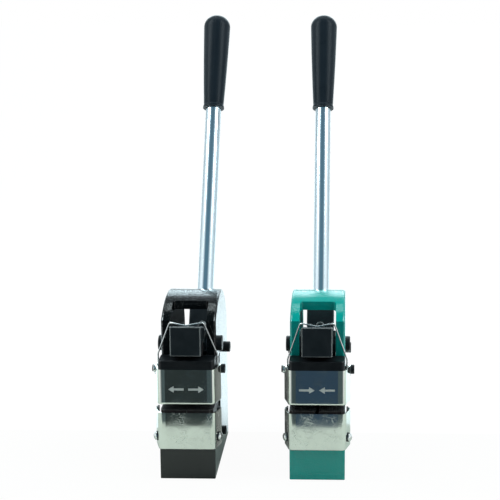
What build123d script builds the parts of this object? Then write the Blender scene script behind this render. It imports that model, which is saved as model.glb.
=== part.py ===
from build123d import *
import os
from math import atan2, cos, degrees, radians, sin, tan

# A sheet-metal shrinker and its twin stretcher: two bench tools that stand side by side.
# Each is a cast arch with a lever through it. The lever's nose presses a ram down, and
# four serrated jaws grip the sheet between the ram and the holder on the base.
#
# Millimetres. Every piece is drawn in its tool's own frame: X across, Y backwards from the
# casting's front face, Z up from the bench. The last step moves it to the shared frame.

# ---------------------------------------------------------------- driving dimensions
KINDS = ("stretcher", "shrinker")

# Fits
PIN_FIT = 0.03              # radial clearance of a fixed pin
RUN_FIT = 0.07              # radial clearance of a running pin
GAP = 0.3                   # between pieces that slide past each other
TOUCH = 0.05                # between pieces that rest on each other

# Casting
TOOL_SPACING = 117.0        # centre to centre of the two tools
BODY_WIDTH = 50.0
BODY_DEPTH = 106.0
BASE_HEIGHT = 28.3
THROAT_DEPTH = 44.0         # front face to the column
CHEEK_FRONT = 17.0
CHEEK_BOTTOM = 104.0
CHEEK_TOP = 143.0           # where the cheeks' upright front turns into the crown
BROW = (38.0, 155.4)        # a point (Y, Z) on the crown, over the strap's front edge
CROWN = (60.0, 159.2)       # its highest point
SHOULDER_Z = 112.0          # where the crown meets the upright back
SLOT_WIDTH = 33.0           # between the cheeks
COLUMN_TOP = 88.0           # floor of the lever slot
STRAP_REAR = 88.0
STRAP_UNDER = (147.4, 150.9, 140.0)     # height of its underside in front, midway and behind
STRAP_CORNER_R = 3.0
CAST_ROUND = 2.4
BASE_ROUND = 0.8            # the throat's and the base's edges are sharper than the head's
GROOVE_REAR = 51.2          # rear of the groove that guides the ram
TENON_HOLE_Z = 14.0

# Bench bolts: two in each base, M10 from below
BOLT_SPACING = 70.0
BOLT_HOLE_R = 4.25
BOLT_HOLE_DEPTH = 20.0
DRILL_TIP = 2.2

# Pivot pin, the bolt that the lever rests on, and the bolt through the lower holder's tenon
PIVOT_Y = 30.0
PIVOT_Z = 118.0
PIVOT_R = 6.0
PIVOT_HEAD_R = 7.0
PIVOT_HEAD_LENGTH = 4.0
PIVOT_CAP_LENGTH = 4.4
STOP_Y = 83.0
STOP_Z = 97.0
STOP_R = 4.0
TIE_Y = 48.0
TIE_Z = 26.8
TIE_R = 3.0
TENON_HALF = 8.0
TENON_FRONT = 30.0
TENON_REAR = 51.0

# Lever
NOSE_SIZE = 27.5            # square front end
NOSE_FRONT = -3.0
NOSE_REAR = 23.5
NOSE_BOTTOM = 115.8
NOSE_FALL = 16.0            # degrees that its top slopes down towards the rear
HUB_R = 12.0
ARM_HALF = 10.0
ARM_SLOPE = 17.0            # degrees of the arm below level
ARM_DEPTH = 13.0
PAD_Y = 12.0                # the pad's contact line, ahead of the pivot
PAD_CLEAR = 0.1
BOSS_HALF = 13.4            # half the rod boss's width
BOSS_DEEP = 13.0            # half its depth
BOSS_ALONG = (-53.0, -12.0)     # its ends, along the rod's axis
SCREW_ALONG = -38.0
SCREW_R = 4.0

# Rod and grip
ROD_R = 8.0
ROD_LEAN = 26.8             # degrees back from upright, at rest
ROD_FOOT = (138.0, 138.0)   # a point (Y, Z) on the rod's axis
ROD_SOCKET = 33.0           # how deep the rod sits in its boss
ROD_IN_GRIP = 26.0          # from the rod's end to the grip's
GRIP_START = 196.5          # along the axis from the rod's foot
GRIP_END = 304.0
GRIP_NECK_R = 10.5
GRIP_RIM_R = 11.2
GRIP_PALM_R = 14.2

# Ram, lower holder and jaws
RAM_TOP = 111.4
RAM_REAR = 50.8
UPPER_FACE = 70.6           # serrated face of the upper jaws
LOWER_FACE = 65.6
UPPER_RAMP = 80.0           # lowest point of the ramps above and below the jaws
LOWER_RAMP = 47.5
JAW_SLOPE = 20.0            # degrees of the ramps behind the jaws
JAW_TRAVEL = 1.5            # along the ramp
JAW_WIDTH = 23.3
JAW_CLEAR = 0.3             # inner face of a closed jaw to the tool's centre plane
JAW_REAR = 40.0
JAW_CORNER = 3.2
EAR_TIP = 29.6              # the lower holder's ears reach out over the cover's edges
EAR_TOP = 65.4
EAR_FALL = 1.5              # how much lower an ear is at its tip
TOOTH_PITCH = 1.6
TOOTH_DEPTH = 0.45
POCKET_DEPTH = 7.0          # blind hole in each jaw for the return spring
SPRING_Y = 22.0
SPRING_R = 2.2
SPRING_WIRE = 0.6
SPRING_TURNS = 6

# Covers, their screws and the upper cross pin
COVER_SHEET = 1.5
COVER_FRONT = -3.0
COVER_HALF = 25.6           # half the flat front
COVER_EDGE = (29.8, 11.5)   # outer rear corner (X, Y) of the splayed flange
COVER_BEND_R = 3.0          # inside radius of the sheet's bends
COVER_RELIEF = 2.4          # chamfer that keeps a holder clear of them
UPPER_COVER = (71.1, 103.6)
LOWER_COVER = (28.7, 63.3)
TAB_REAR = 19.6
TAB_BELOW = 4.6             # how far a tab reaches below the pin
COVER_SCREW_Y = 5.2
COVER_SCREW_Z = 38.6
WASHER_THICK = 0.8
UPPER_PIN_Y = 15.0
UPPER_PIN_Z = 99.0
UPPER_PIN_R = 3.0
UPPER_PIN_HEAD_R = 4.1
UPPER_PIN_HEAD_LENGTH = 3.5
CLIP_R = 3.8
CLIP_THICK = 1.6
MARK_Z = 85.4               # height of the arrows stamped in the upper covers
MARK_DEPTH = 0.2
MARK_CENTRE = 9.0
MARK_REACH = 7.0            # half an arrow's length
MARK_HEAD = 5.0
MARK_HALF = 3.1             # half the arrow head's height
MARK_SHAFT = 1.0            # half the shaft's height

# Bail wire
WIRE_R = 0.7
BAIL_X = 26.7
BAIL_BEND_Z = {"stretcher": 114.0, "shrinker": 109.6}
BAIL_SHOULDER = (15.2, 8.0, 143.9)  # where the wire turns in over the nose
BAIL_REST_Y = 3.6               # where its middle rests on the nose

# Sizes that follow from these
HALF_WIDTH = BODY_WIDTH / 2
SLOT_HALF = SLOT_WIDTH / 2
NOSE_TOP = NOSE_BOTTOM + NOSE_SIZE
PAD_R = PIVOT_Z - RAM_TOP - PAD_CLEAR
PAD_TOP = PIVOT_Z + PAD_R + 0.5
LEAN = radians(ROD_LEAN)
SLOPE = radians(JAW_SLOPE)
SHEET_INNER = COVER_FRONT + COVER_SHEET
HOLDER_FRONT = SHEET_INNER + TOUCH
HOLDER_FIT = COVER_SHEET + 0.15
HOLDER_WING = COVER_EDGE[1] - 0.5
SPLAY = atan2(COVER_EDGE[0] - COVER_HALF, COVER_EDGE[1] + 2.0)
BAIL_EYE_R = UPPER_PIN_R + 0.15 + WIRE_R


# ---------------------------------------------------------------- helpers
def block(x_range, y_range, z_range):
    """A box given by its limits."""
    low = Vector(x_range[0], y_range[0], z_range[0])
    size = Vector(x_range[1], y_range[1], z_range[1]) - low
    return Pos(*(low + size / 2)) * Box(*size)


def side_slab(face_lines, half_width):
    """Extrude a closed outline drawn in (Y, Z) equally to both sides of X = 0."""
    face = Plane.YZ * make_face(face_lines)
    return extrude(face, half_width, both=True)


def front_slab(points, y_range):
    """Extrude a closed polygon drawn in (X, Z) from the first Y to the second."""
    face = Plane.XZ.offset(-y_range[0]) * make_face(Polyline(*points, close=True))
    return extrude(face, -(y_range[1] - y_range[0]))


def plan_slab(points, z_range):
    """Extrude a closed polygon drawn in (X, Y) from the first Z to the second."""
    face = Plane.XY.offset(z_range[0]) * make_face(Polyline(*points, close=True))
    return extrude(face, z_range[1] - z_range[0])


def cross_pin(x_range, y, z, radius):
    """A cylinder along X."""
    length = x_range[1] - x_range[0]
    return Pos((x_range[0] + x_range[1]) / 2, y, z) * Rot(0, 90, 0) * Cylinder(radius, length)


def cross_hole(y, z, radius):
    """A drill right through the tool along X."""
    return cross_pin((-40, 40), y, z, radius)


def on_rod(along, off=0.0):
    """The point (Y, Z) at a distance along the rod's axis, and off it towards the rear."""
    y = ROD_FOOT[0] + along * sin(LEAN) + off * cos(LEAN)
    z = ROD_FOOT[1] + along * cos(LEAN) - off * sin(LEAN)
    return y, z


def rod_frame(along):
    """A frame on the rod's axis, with its Z up the rod."""
    y, z = on_rod(along)
    return Pos(0, y, z) * Rot(-ROD_LEAN, 0, 0)


def mirrored(part):
    return mirror(part, about=Plane.YZ)


def flange_x(y, inset=0.0):
    """Half width of a cover's splayed flange at a depth, less an inset normal to it."""
    return COVER_HALF + tan(SPLAY) * (y + 2.0) - inset / cos(SPLAY)


def ramp_z(kind, upper, x):
    """Height of a holder's ramp. The shrinker's jaws slide in under load, the stretcher's out."""
    low = UPPER_RAMP if upper else LOWER_RAMP
    rise = tan(SLOPE) * HALF_WIDTH
    inward = kind == "shrinker"
    high_at_centre = inward == upper
    fall = tan(SLOPE) * abs(x)
    return low + rise - fall if high_at_centre else low + fall


# ---------------------------------------------------------------- casting
def crown_outline():
    """The arched top of the casting's side, from the upright back to the cheeks' front."""
    rear = EllipticalCenterArc((CROWN[0], SHOULDER_Z), BODY_DEPTH - CROWN[0],
                               CROWN[1] - SHOULDER_Z, start_angle=0, arc_size=90)
    front = ThreePointArc(CROWN, BROW, (CHEEK_FRONT, CHEEK_TOP))
    return rear, front


def frame():
    """C-shaped casting: base, column, and two cheeks joined by a strap over the lever."""
    rear, front = crown_outline()
    low = Polyline((CHEEK_FRONT, CHEEK_TOP), (CHEEK_FRONT, CHEEK_BOTTOM),
                   (THROAT_DEPTH, CHEEK_BOTTOM), (THROAT_DEPTH, BASE_HEIGHT), (0, BASE_HEIGHT),
                   (0, 0), (BODY_DEPTH, 0), (BODY_DEPTH, SHOULDER_Z))
    body = side_slab([rear, front, low], HALF_WIDTH)
    head = [e for e in side_edges(body)
            if e.center().Z > CHEEK_BOTTOM + 1 or e.center().Y > BODY_DEPTH - 1]
    body = fillet(head, CAST_ROUND)
    base = [e for e in side_edges(body)
            if e.center().Z < CHEEK_BOTTOM + 0.5 and e.center().Y < BODY_DEPTH - 3]
    body = fillet(base, BASE_ROUND)
    return body - lever_slot() - frame_holes()


def side_edges(body):
    """The edges around the casting's two flat sides."""
    return [e for e in body.edges() if abs(abs(e.center().X) - HALF_WIDTH) < 0.01]


def lever_slot():
    """The space between the cheeks, less the strap that bridges it."""
    top = CROWN[1] + 5
    strap_front, strap_mid = BROW[0], (BROW[0] + STRAP_REAR) / 2
    space = block((-SLOT_HALF, SLOT_HALF), (0, BODY_DEPTH + 5), (COLUMN_TOP, top))
    under = ThreePointArc((strap_front, STRAP_UNDER[0]), (strap_mid, STRAP_UNDER[1]),
                          (STRAP_REAR, STRAP_UNDER[2]))
    over = Polyline((STRAP_REAR, STRAP_UNDER[2]), (STRAP_REAR, top + 1), (strap_front, top + 1),
                    (strap_front, STRAP_UNDER[0]))
    space -= side_slab([under, over], SLOT_HALF + 1)
    corners = [e for e in space.edges().filter_by(Axis.Z)
               if abs(e.center().Y - strap_front) < 0.1 and e.center().Z > STRAP_UNDER[0]]
    return fillet(corners, STRAP_CORNER_R)


def frame_holes():
    """The ram's groove, the mortise for the holder's tenon, and the bolt and pin holes."""
    rib_half = TENON_HALF + GAP
    mortise_half = TENON_HALF + 0.1
    groove = block((-rib_half, rib_half), (THROAT_DEPTH - 1, GROOVE_REAR),
                   (BASE_HEIGHT - 1, COLUMN_TOP + 1))
    mortise = block((-mortise_half, mortise_half), (TENON_FRONT - 0.1, GROOVE_REAR),
                    (TENON_HOLE_Z, BASE_HEIGHT + 1))
    holes = groove + mortise
    holes += cross_hole(PIVOT_Y, PIVOT_Z, PIVOT_R + PIN_FIT)
    holes += cross_hole(STOP_Y, STOP_Z, STOP_R + PIN_FIT)
    holes += cross_hole(TIE_Y, TIE_Z, TIE_R + PIN_FIT)
    for y in (BODY_DEPTH / 2 - BOLT_SPACING / 2, BODY_DEPTH / 2 + BOLT_SPACING / 2):
        drill = Pos(0, y, BOLT_HOLE_DEPTH / 2) * Cylinder(BOLT_HOLE_R, BOLT_HOLE_DEPTH)
        tip = Pos(0, y, BOLT_HOLE_DEPTH + DRILL_TIP / 2) * Cone(BOLT_HOLE_R, 0.3, DRILL_TIP)
        holes += drill + tip
    return holes


# ---------------------------------------------------------------- fixed pins and bolts
def pivot_pin():
    """Turned pin with a flat head on the left."""
    seat = HALF_WIDTH + TOUCH
    shank = cross_pin((-HALF_WIDTH - 1, HALF_WIDTH + 3.2), PIVOT_Y, PIVOT_Z, PIVOT_R)
    head = cross_pin((-seat - PIVOT_HEAD_LENGTH, -seat), PIVOT_Y, PIVOT_Z, PIVOT_HEAD_R)
    head = chamfer(head.faces().sort_by(Axis.X)[0].edges(), 0.6)
    return shank + head


def pivot_cap():
    """Pressed cap that holds the pivot pin on the right."""
    seat = HALF_WIDTH + TOUCH
    cap = cross_pin((seat, seat + PIVOT_CAP_LENGTH), PIVOT_Y, PIVOT_Z, PIVOT_HEAD_R)
    cap = chamfer(cap.faces().sort_by(Axis.X)[-1].edges(), 0.6)
    return cap - cross_pin((HALF_WIDTH - 1, HALF_WIDTH + 3.3), PIVOT_Y, PIVOT_Z, PIVOT_R + PIN_FIT)


def socket_bolt(x_range, y, z, shank_r, head_r, head_length):
    """Cylinder-head cross bolt: shank over x_range, head outside its right end."""
    right = x_range[1] + TOUCH
    head = cross_pin((right, right + head_length), y, z, head_r)
    head = chamfer(head.faces().sort_by(Axis.X)[-1].edges(), 0.5)
    key = Plane.YZ.offset(right + head_length) * Pos(y, z) * RegularPolygon(shank_r * 0.7, 6)
    head -= extrude(key, -head_length * 0.55)
    return head + cross_pin((x_range[0], right + 1), y, z, shank_r)


def hex_nut(x_inner, y, z, hole_r, across, thick):
    """Plain nut on the left side, its inner face at x_inner."""
    face = Plane.YZ.offset(x_inner - thick) * Pos(y, z)
    nut = extrude(face * RegularPolygon(across / 2, 6, major_radius=False), thick)
    crown = cross_pin((x_inner - thick, x_inner), y, z, across / 2 * 1.12)
    crown = chamfer(crown.edges().filter_by(GeomType.CIRCLE), 0.6)
    return (nut & crown) - cross_pin((x_inner - thick - 1, x_inner + 1), y, z, hole_r)


def stop_bolt():
    """Rear bolt through the cheeks; the lever rests on it."""
    return socket_bolt((-HALF_WIDTH - 6.0, HALF_WIDTH), STOP_Y, STOP_Z, STOP_R, 5.0, 5.4)


def stop_nut():
    return hex_nut(-HALF_WIDTH - TOUCH, STOP_Y, STOP_Z, STOP_R + PIN_FIT, 11.0, 5.0)


def holder_bolt():
    """Cross bolt that ties the lower holder's tenon into the base."""
    return socket_bolt((-HALF_WIDTH - 5.2, HALF_WIDTH), TIE_Y, TIE_Z, TIE_R, 4.1, 4.8)


def holder_nut():
    return hex_nut(-HALF_WIDTH - TOUCH, TIE_Y, TIE_Z, TIE_R + PIN_FIT, 9.0, 4.4)


# ---------------------------------------------------------------- jaw holders and jaws
def wing_plan(rear_x, rear_y):
    """Plan of a holder: splayed like the cover in front, straight behind the cover's edge."""
    bend_y = HOLDER_FRONT + COVER_RELIEF
    right = [(flange_x(HOLDER_FRONT, HOLDER_FIT) - COVER_RELIEF, HOLDER_FRONT),
             (flange_x(bend_y, HOLDER_FIT), bend_y),
             (flange_x(HOLDER_WING, HOLDER_FIT), HOLDER_WING), (rear_x, HOLDER_WING), (rear_x, rear_y)]
    return right + [(-x, y) for x, y in reversed(right)]


def ramp_points(kind, upper, clear=0.0):
    """A ramp's line in (X, Z) from left to right, moved off the holder by a clearance."""
    shift = -clear if upper else clear
    return [(x, ramp_z(kind, upper, x) + shift) for x in (-40.0, 0.0, 40.0)]


def lower_holder(kind):
    """Block on the base that carries the two lower jaws on its ramps."""
    plan = wing_plan(HALF_WIDTH - 0.2, THROAT_DEPTH - GAP)
    body = plan_slab(plan, (BASE_HEIGHT + TOUCH, LOWER_FACE - 1.2))
    body -= front_slab(ramp_points(kind, False) + [(40, 90), (-40, 90)], (-10, 70))
    ear_inner, ear_front, ear_bottom = 26.3, 5.6, 46.0
    ear_outer = flange_x(HOLDER_WING, HOLDER_FIT)
    for side in (-1, 1):
        body += plan_slab([(side * ear_inner, ear_front), (side * ear_outer, HOLDER_WING),
                           (side * ear_inner, HOLDER_WING)], (ear_bottom, EAR_TOP))
        tip = plan_slab([(side * ear_inner, ear_front), (side * EAR_TIP, HOLDER_WING),
                         (side * ear_inner, HOLDER_WING)], (LOWER_COVER[1] + GAP, EAR_TOP))
        body += tip & front_slab([(side * ear_inner, EAR_TOP), (side * EAR_TIP, EAR_TOP - EAR_FALL),
                                  (side * EAR_TIP, ear_bottom), (side * ear_inner, ear_bottom)],
                                 (0, HOLDER_WING + 1))
    tenon = (-TENON_HALF, TENON_HALF)
    body += block(tenon, (TENON_FRONT, TENON_REAR), (TENON_HOLE_Z + 0.1, BASE_HEIGHT + 1))
    body += block(tenon, (THROAT_DEPTH - 1, TENON_REAR), (BASE_HEIGHT - 1, BASE_HEIGHT + 5))
    body -= cross_hole(TIE_Y, TIE_Z, TIE_R + PIN_FIT)
    for side in (-1, 1):
        body -= cover_screw_place(side) * Pos(0, 0, -5.0) * Cylinder(2.0 + PIN_FIT, 10.4)
    return body


def ram(kind):
    """Sliding block under the lever's nose; it carries the two upper jaws on its ramps."""
    head_rear = CHEEK_FRONT - 1.0
    wide_top = UPPER_PIN_Z - 5.4
    body = block((-HALF_WIDTH, HALF_WIDTH), (HOLDER_FRONT, head_rear), (wide_top - 1, RAM_TOP))
    posts = [e for e in body.edges().filter_by(Axis.Z) if e.center().Y < 0]
    body = fillet(posts, 3.2)
    body = chamfer(body.faces().sort_by(Axis.Z)[-1].edges(), 0.5)
    body += block((-HALF_WIDTH + 0.2, HALF_WIDTH - 0.2), (head_rear - 1, THROAT_DEPTH - GAP),
                  (UPPER_FACE, CHEEK_BOTTOM - 1.2))
    body += plan_slab(wing_plan(HALF_WIDTH - 0.2, THROAT_DEPTH - 2), (UPPER_FACE, wide_top))
    body -= front_slab(ramp_points(kind, True) + [(40, 50), (-40, 50)], (-10, 70))
    body += block((-TENON_HALF, TENON_HALF), (THROAT_DEPTH - 1, RAM_REAR),
                  (UPPER_FACE + 2, CHEEK_BOTTOM - 2.2))
    return body - cross_hole(UPPER_PIN_Y, UPPER_PIN_Z, UPPER_PIN_R + PIN_FIT)


def teeth(x_range, y_range, z, up):
    """V grooves along Y across a jaw's face."""
    count = int((x_range[1] - x_range[0]) / TOOTH_PITCH)
    first = (x_range[0] + x_range[1]) / 2 - (count - 1) * TOOTH_PITCH / 2
    depth = -TOOTH_DEPTH if up else TOOTH_DEPTH
    half = TOOTH_DEPTH * 0.9
    cuts = []
    for n in range(count):
        x = first + n * TOOTH_PITCH
        points = [(x - half, z), (x, z + depth), (x + half, z), (x, z - depth)]
        cuts.append(front_slab(points, (y_range[0] - 1, y_range[1] + 1)))
    return cuts


def cross_teeth(x_range, y_range, z, up):
    """V grooves along X, so the face is left with rows of small pyramids."""
    count = int((y_range[1] - y_range[0]) / (2 * TOOTH_PITCH))
    first = (y_range[0] + y_range[1]) / 2 - (count - 1) * TOOTH_PITCH
    depth = -TOOTH_DEPTH if up else TOOTH_DEPTH
    half = TOOTH_DEPTH * 0.9
    cuts = []
    for n in range(count):
        y = first + n * 2 * TOOTH_PITCH
        outline = Polyline((y - half, z), (y, z + depth), (y + half, z), (y, z - depth), close=True)
        middle = (x_range[0] + x_range[1]) / 2
        reach = (x_range[1] - x_range[0]) / 2 + 1
        cuts.append(Pos(middle, 0, 0) * side_slab(outline, reach))
    return cuts


def jaw_span(kind):
    """Inner and outer X of the right-hand jaw at rest."""
    shift = JAW_TRAVEL * cos(SLOPE)
    inner = JAW_CLEAR + shift if kind == "shrinker" else JAW_CLEAR
    return inner, inner + JAW_WIDTH


def jaw(kind, upper, side):
    """Serrated wedge: flat tooth face towards the sheet, sloping back against the ramp."""
    inner, outer = jaw_span(kind)
    y_range = (SHEET_INNER + GAP, JAW_REAR)
    face = UPPER_FACE if upper else LOWER_FACE
    back = -TOUCH * 2 if upper else TOUCH * 2
    body = front_slab([(inner, ramp_z(kind, upper, inner) + back),
                       (outer, ramp_z(kind, upper, outer) + back), (outer, face), (inner, face)], y_range)
    corner = [e for e in body.edges().filter_by(Axis.Z)
              if e.center().X > inner + 1 and e.center().Y < 0]
    body = chamfer(corner, JAW_CORNER)
    body -= cross_pin((inner - 1, inner + POCKET_DEPTH), SPRING_Y, jaw_spring_z(kind, upper),
                      SPRING_R + 0.5)
    for cut in teeth((inner, outer), y_range, face, not upper):
        body -= cut
    for cut in cross_teeth((inner, outer), y_range, face, not upper):
        body -= cut
    return body if side > 0 else mirrored(body)


def jaw_spring_z(kind, upper):
    """Height of the return spring, midway between the jaws' ramps and their teeth."""
    face = UPPER_FACE if upper else LOWER_FACE
    return (ramp_z(kind, upper, 4.0) + face) / 2


def jaw_spring(kind, upper):
    """Coil spring between the pair of jaws, in a blind pocket in each."""
    inner, _ = jaw_span(kind)
    length = 2 * (inner + POCKET_DEPTH) - SPRING_WIRE - 0.4
    mean_r = SPRING_R - SPRING_WIRE / 2
    path = Helix(pitch=length / SPRING_TURNS, height=length, radius=mean_r)
    start = Plane(origin=path @ 0, z_dir=path % 0)
    coil = sweep(start * Circle(SPRING_WIRE / 2), path=path)
    return Pos(-length / 2, SPRING_Y, jaw_spring_z(kind, upper)) * Rot(0, 90, 0) * coil


# ---------------------------------------------------------------- covers and their pins
def cover(z_range):
    """Bent sheet cover, with a rolled lower edge."""
    edge_x, edge_y = COVER_EDGE
    right = [(flange_x(COVER_FRONT), COVER_FRONT), (edge_x, edge_y),
             (edge_x - COVER_SHEET / cos(SPLAY), edge_y),
             (flange_x(SHEET_INNER, COVER_SHEET), SHEET_INNER)]
    sheet = plan_slab(right + [(-x, y) for x, y in reversed(right)], z_range)
    outer = [e for e in sheet.edges().filter_by(Axis.Z) if e.center().Y < COVER_FRONT + 0.1]
    sheet = fillet(outer, COVER_BEND_R + COVER_SHEET)
    inner = [e for e in sheet.edges().filter_by(Axis.Z)
             if abs(e.center().Y - SHEET_INNER) < 0.1 and abs(e.center().X) > 20]
    sheet = fillet(inner, COVER_BEND_R)
    lip = [e for e in sheet.edges().filter_by(Axis.X)
           if abs(e.center().Y - COVER_FRONT) < 0.1 and e.center().Z < z_range[0] + 0.1]
    return fillet(lip, 1.1)


def upper_cover(kind):
    """Cover on the ram; a tab on each flange takes the cross pin, and arrows tell the tools apart."""
    edge_x, edge_y = COVER_EDGE
    sheet = cover(UPPER_COVER)
    for side in (-1, 1):
        tab = block((edge_x - COVER_SHEET, edge_x), (edge_y - 0.6, TAB_REAR),
                    (UPPER_PIN_Z - TAB_BELOW, UPPER_COVER[1]))
        rear = [e for e in tab.edges().filter_by(Axis.X) if e.center().Y > edge_y]
        tab = fillet(rear, 3.0)
        sheet += tab if side > 0 else mirrored(tab)
        sheet -= arrow(side * MARK_CENTRE, side if kind == "stretcher" else -side)
    return sheet - cross_hole(UPPER_PIN_Y, UPPER_PIN_Z, UPPER_PIN_R + PIN_FIT)


def arrow(centre, ahead):
    """A shallow arrow stamped in the cover's front, pointing along X by the sign of ahead."""
    tip, tail = centre + ahead * MARK_REACH, centre - ahead * MARK_REACH
    neck = tip - ahead * MARK_HEAD
    upper = [(tip, MARK_Z), (neck, MARK_Z + MARK_HALF), (neck, MARK_Z + MARK_SHAFT),
             (tail, MARK_Z + MARK_SHAFT)]
    lower = [(tail, MARK_Z - MARK_SHAFT), (neck, MARK_Z - MARK_SHAFT), (neck, MARK_Z - MARK_HALF)]
    return front_slab(upper + lower, (COVER_FRONT - 1, COVER_FRONT + MARK_DEPTH))


def cover_screw_place(side):
    """A frame on the flange's outer face, Z along the screw towards its head."""
    x = side * flange_x(COVER_SCREW_Y)
    turn = Rot(0, 0, -side * degrees(SPLAY)) * Rot(0, side * 90, 0)
    return Pos(x, COVER_SCREW_Y, COVER_SCREW_Z) * turn


def lower_cover():
    sheet = cover(LOWER_COVER)
    for side in (-1, 1):
        sheet -= cover_screw_place(side) * Cylinder(2.3, 6.0)
    return sheet


def cover_screws():
    """Two domed screws with a cross recess, one in each flange."""
    screws = []
    for side in (-1, 1):
        seat = WASHER_THICK + TOUCH * 2
        dome = Pos(0, 0, seat - 2.4) * Sphere(5.0) & Pos(0, 0, seat + 1.5) * Cylinder(3.6, 3.0)
        shank = Pos(0, 0, seat / 2 - 4.0) * Cylinder(2.0, seat + 8.0)
        cross = Box(4.0, 0.7, 2.4) + Box(0.7, 4.0, 2.4)
        screws.append(cover_screw_place(side) * (dome + shank - Pos(0, 0, seat + 2.8) * cross))
    return Compound(children=screws)


def cover_washers():
    """Dark washers under the cover screws."""
    plates = []
    for side in (-1, 1):
        plate = Pos(0, 0, TOUCH + WASHER_THICK / 2) * (Cylinder(4.2, WASHER_THICK) - Cylinder(2.1, 2.0))
        plates.append(cover_screw_place(side) * plate)
    return Compound(children=plates)


def upper_pin():
    """Cross pin through the ram and the cover's tabs, headed on the right."""
    reach = COVER_EDGE[0]
    seat = reach + TOUCH
    head = cross_pin((seat, seat + UPPER_PIN_HEAD_LENGTH), UPPER_PIN_Y, UPPER_PIN_Z, UPPER_PIN_HEAD_R)
    head = chamfer(head.faces().sort_by(Axis.X)[-1].edges(), 0.4)
    return head + cross_pin((-reach - 2.8, reach + 1), UPPER_PIN_Y, UPPER_PIN_Z, UPPER_PIN_R)


def upper_pin_clip():
    """Push-on cap on the pin's left end."""
    reach = COVER_EDGE[0]
    clip = cross_pin((-reach - TOUCH - CLIP_THICK, -reach - TOUCH), UPPER_PIN_Y, UPPER_PIN_Z, CLIP_R)
    clip = chamfer(clip.faces().sort_by(Axis.X)[0].edges(), 0.4)
    return clip - cross_hole(UPPER_PIN_Y, UPPER_PIN_Z, UPPER_PIN_R + PIN_FIT)


# ---------------------------------------------------------------- bail wire
def bail_points(kind):
    """Right half of the wire's route, from the pin's eye to the middle of the nose."""
    leg_y = UPPER_PIN_Y - BAIL_EYE_R
    rest = nose_top(BAIL_REST_Y) + WIRE_R + 0.15
    return [(BAIL_X, leg_y, UPPER_PIN_Z), (BAIL_X, leg_y, BAIL_BEND_Z[kind]), BAIL_SHOULDER,
            (0.0, BAIL_REST_Y, rest)]


def bail_wire(kind):
    """Spring wire hooked on the ram's cross pin and bent over the nose; it lifts the ram."""
    right = bail_points(kind)
    route = right + [(-x, y, z) for x, y, z in reversed(right[:-1])]
    wire = Pos(*route[0]) * Sphere(WIRE_R)
    for start, end in zip(route, route[1:]):
        run = Vector(*end) - Vector(*start)
        middle = Vector(*start) + run / 2
        rod = Plane(origin=middle, z_dir=run) * Cylinder(WIRE_R, run.length)
        wire = wire + rod + Pos(*end) * Sphere(WIRE_R)
    for side in (-1, 1):
        place = Pos(side * BAIL_X, UPPER_PIN_Y, UPPER_PIN_Z) * Rot(0, 90, 0)
        eye = place * Torus(BAIL_EYE_R, WIRE_R + 0.03)
        wire += eye
    return wire


# ---------------------------------------------------------------- lever, rod and grip
def nose_top(y):
    """Height of the nose's sloping top at a depth."""
    return NOSE_TOP - tan(radians(NOSE_FALL)) * (y - NOSE_FRONT)


def lever():
    """Square nose, hub on the pivot, arm sloping back through the slot, and the rod's boss."""
    half = NOSE_SIZE / 2
    sides = Polyline((NOSE_FRONT, NOSE_BOTTOM), (NOSE_FRONT, NOSE_TOP), (NOSE_REAR, nose_top(NOSE_REAR)),
                     (NOSE_REAR, NOSE_BOTTOM), close=True)
    nose = side_slab(sides, half)
    nose = chamfer(nose.edges(), 0.7)
    hub = cross_pin((-SLOT_HALF + GAP, SLOT_HALF - GAP), PIVOT_Y, PIVOT_Z, HUB_R)
    boss = Box(2 * BOSS_HALF, 2 * BOSS_DEEP, BOSS_ALONG[1] - BOSS_ALONG[0])
    boss = fillet((rod_frame(sum(BOSS_ALONG) / 2) * boss).edges(), 1.2)
    body = nose + hub + lever_arm() + boss
    body -= cross_hole(PIVOT_Y, PIVOT_Z, PIVOT_R + RUN_FIT)
    body -= block((-20, 20), (PAD_Y - PAD_R - TOUCH, PAD_Y + PAD_R + TOUCH),
                  (NOSE_BOTTOM - 2, PAD_TOP + TOUCH))
    socket = Cylinder(ROD_R + PIN_FIT, ROD_SOCKET + 3.2)
    body -= rod_frame(BOSS_ALONG[1] - (ROD_SOCKET - 2.8) / 2) * socket
    return body - set_screw_place() * Pos(0, 0, -8) * Cylinder(SCREW_R + PIN_FIT, 20)


def lever_arm():
    """Tapered web whose underside rests on the stop bolt."""
    slope = radians(ARM_SLOPE)
    along = (cos(slope), -sin(slope))
    up = (sin(slope), cos(slope))
    rest = STOP_R + 0.15
    foot = (STOP_Y + up[0] * rest, STOP_Z + up[1] * rest)
    under = [(foot[0] + along[0] * t, foot[1] + along[1] * t) for t in (-52.0, 26.0)]
    over = [(y + up[0] * ARM_DEPTH, z + up[1] * ARM_DEPTH) for y, z in under]
    web = side_slab(Polyline(under[0], under[1], over[1], over[0], close=True), ARM_HALF)
    web = fillet([e for e in web.edges() if e.length > 60], 2.5)
    crest = PIVOT_Y - 8
    brace = side_slab(Polyline((crest, nose_top(crest) - 0.8), (PIVOT_Y + 34, PIVOT_Z + 4),
                               (PIVOT_Y + 4, PIVOT_Z), (crest, PIVOT_Z), close=True), ARM_HALF)
    return web + brace


def nose_pad():
    """Hardened half-round insert that presses on the ram."""
    half = NOSE_SIZE / 2 - 0.6
    rounded = cross_pin((-half, half), PAD_Y, PIVOT_Z, PAD_R)
    upright = block((-half, half), (PAD_Y - PAD_R, PAD_Y + PAD_R), (PIVOT_Z, PAD_TOP))
    return rounded + upright


def set_screw_place():
    """On the boss's front face, Z pointing out of it."""
    y, z = on_rod(SCREW_ALONG, -BOSS_DEEP)
    return Pos(0, y, z) * Rot(90 - ROD_LEAN, 0, 0)


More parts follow.
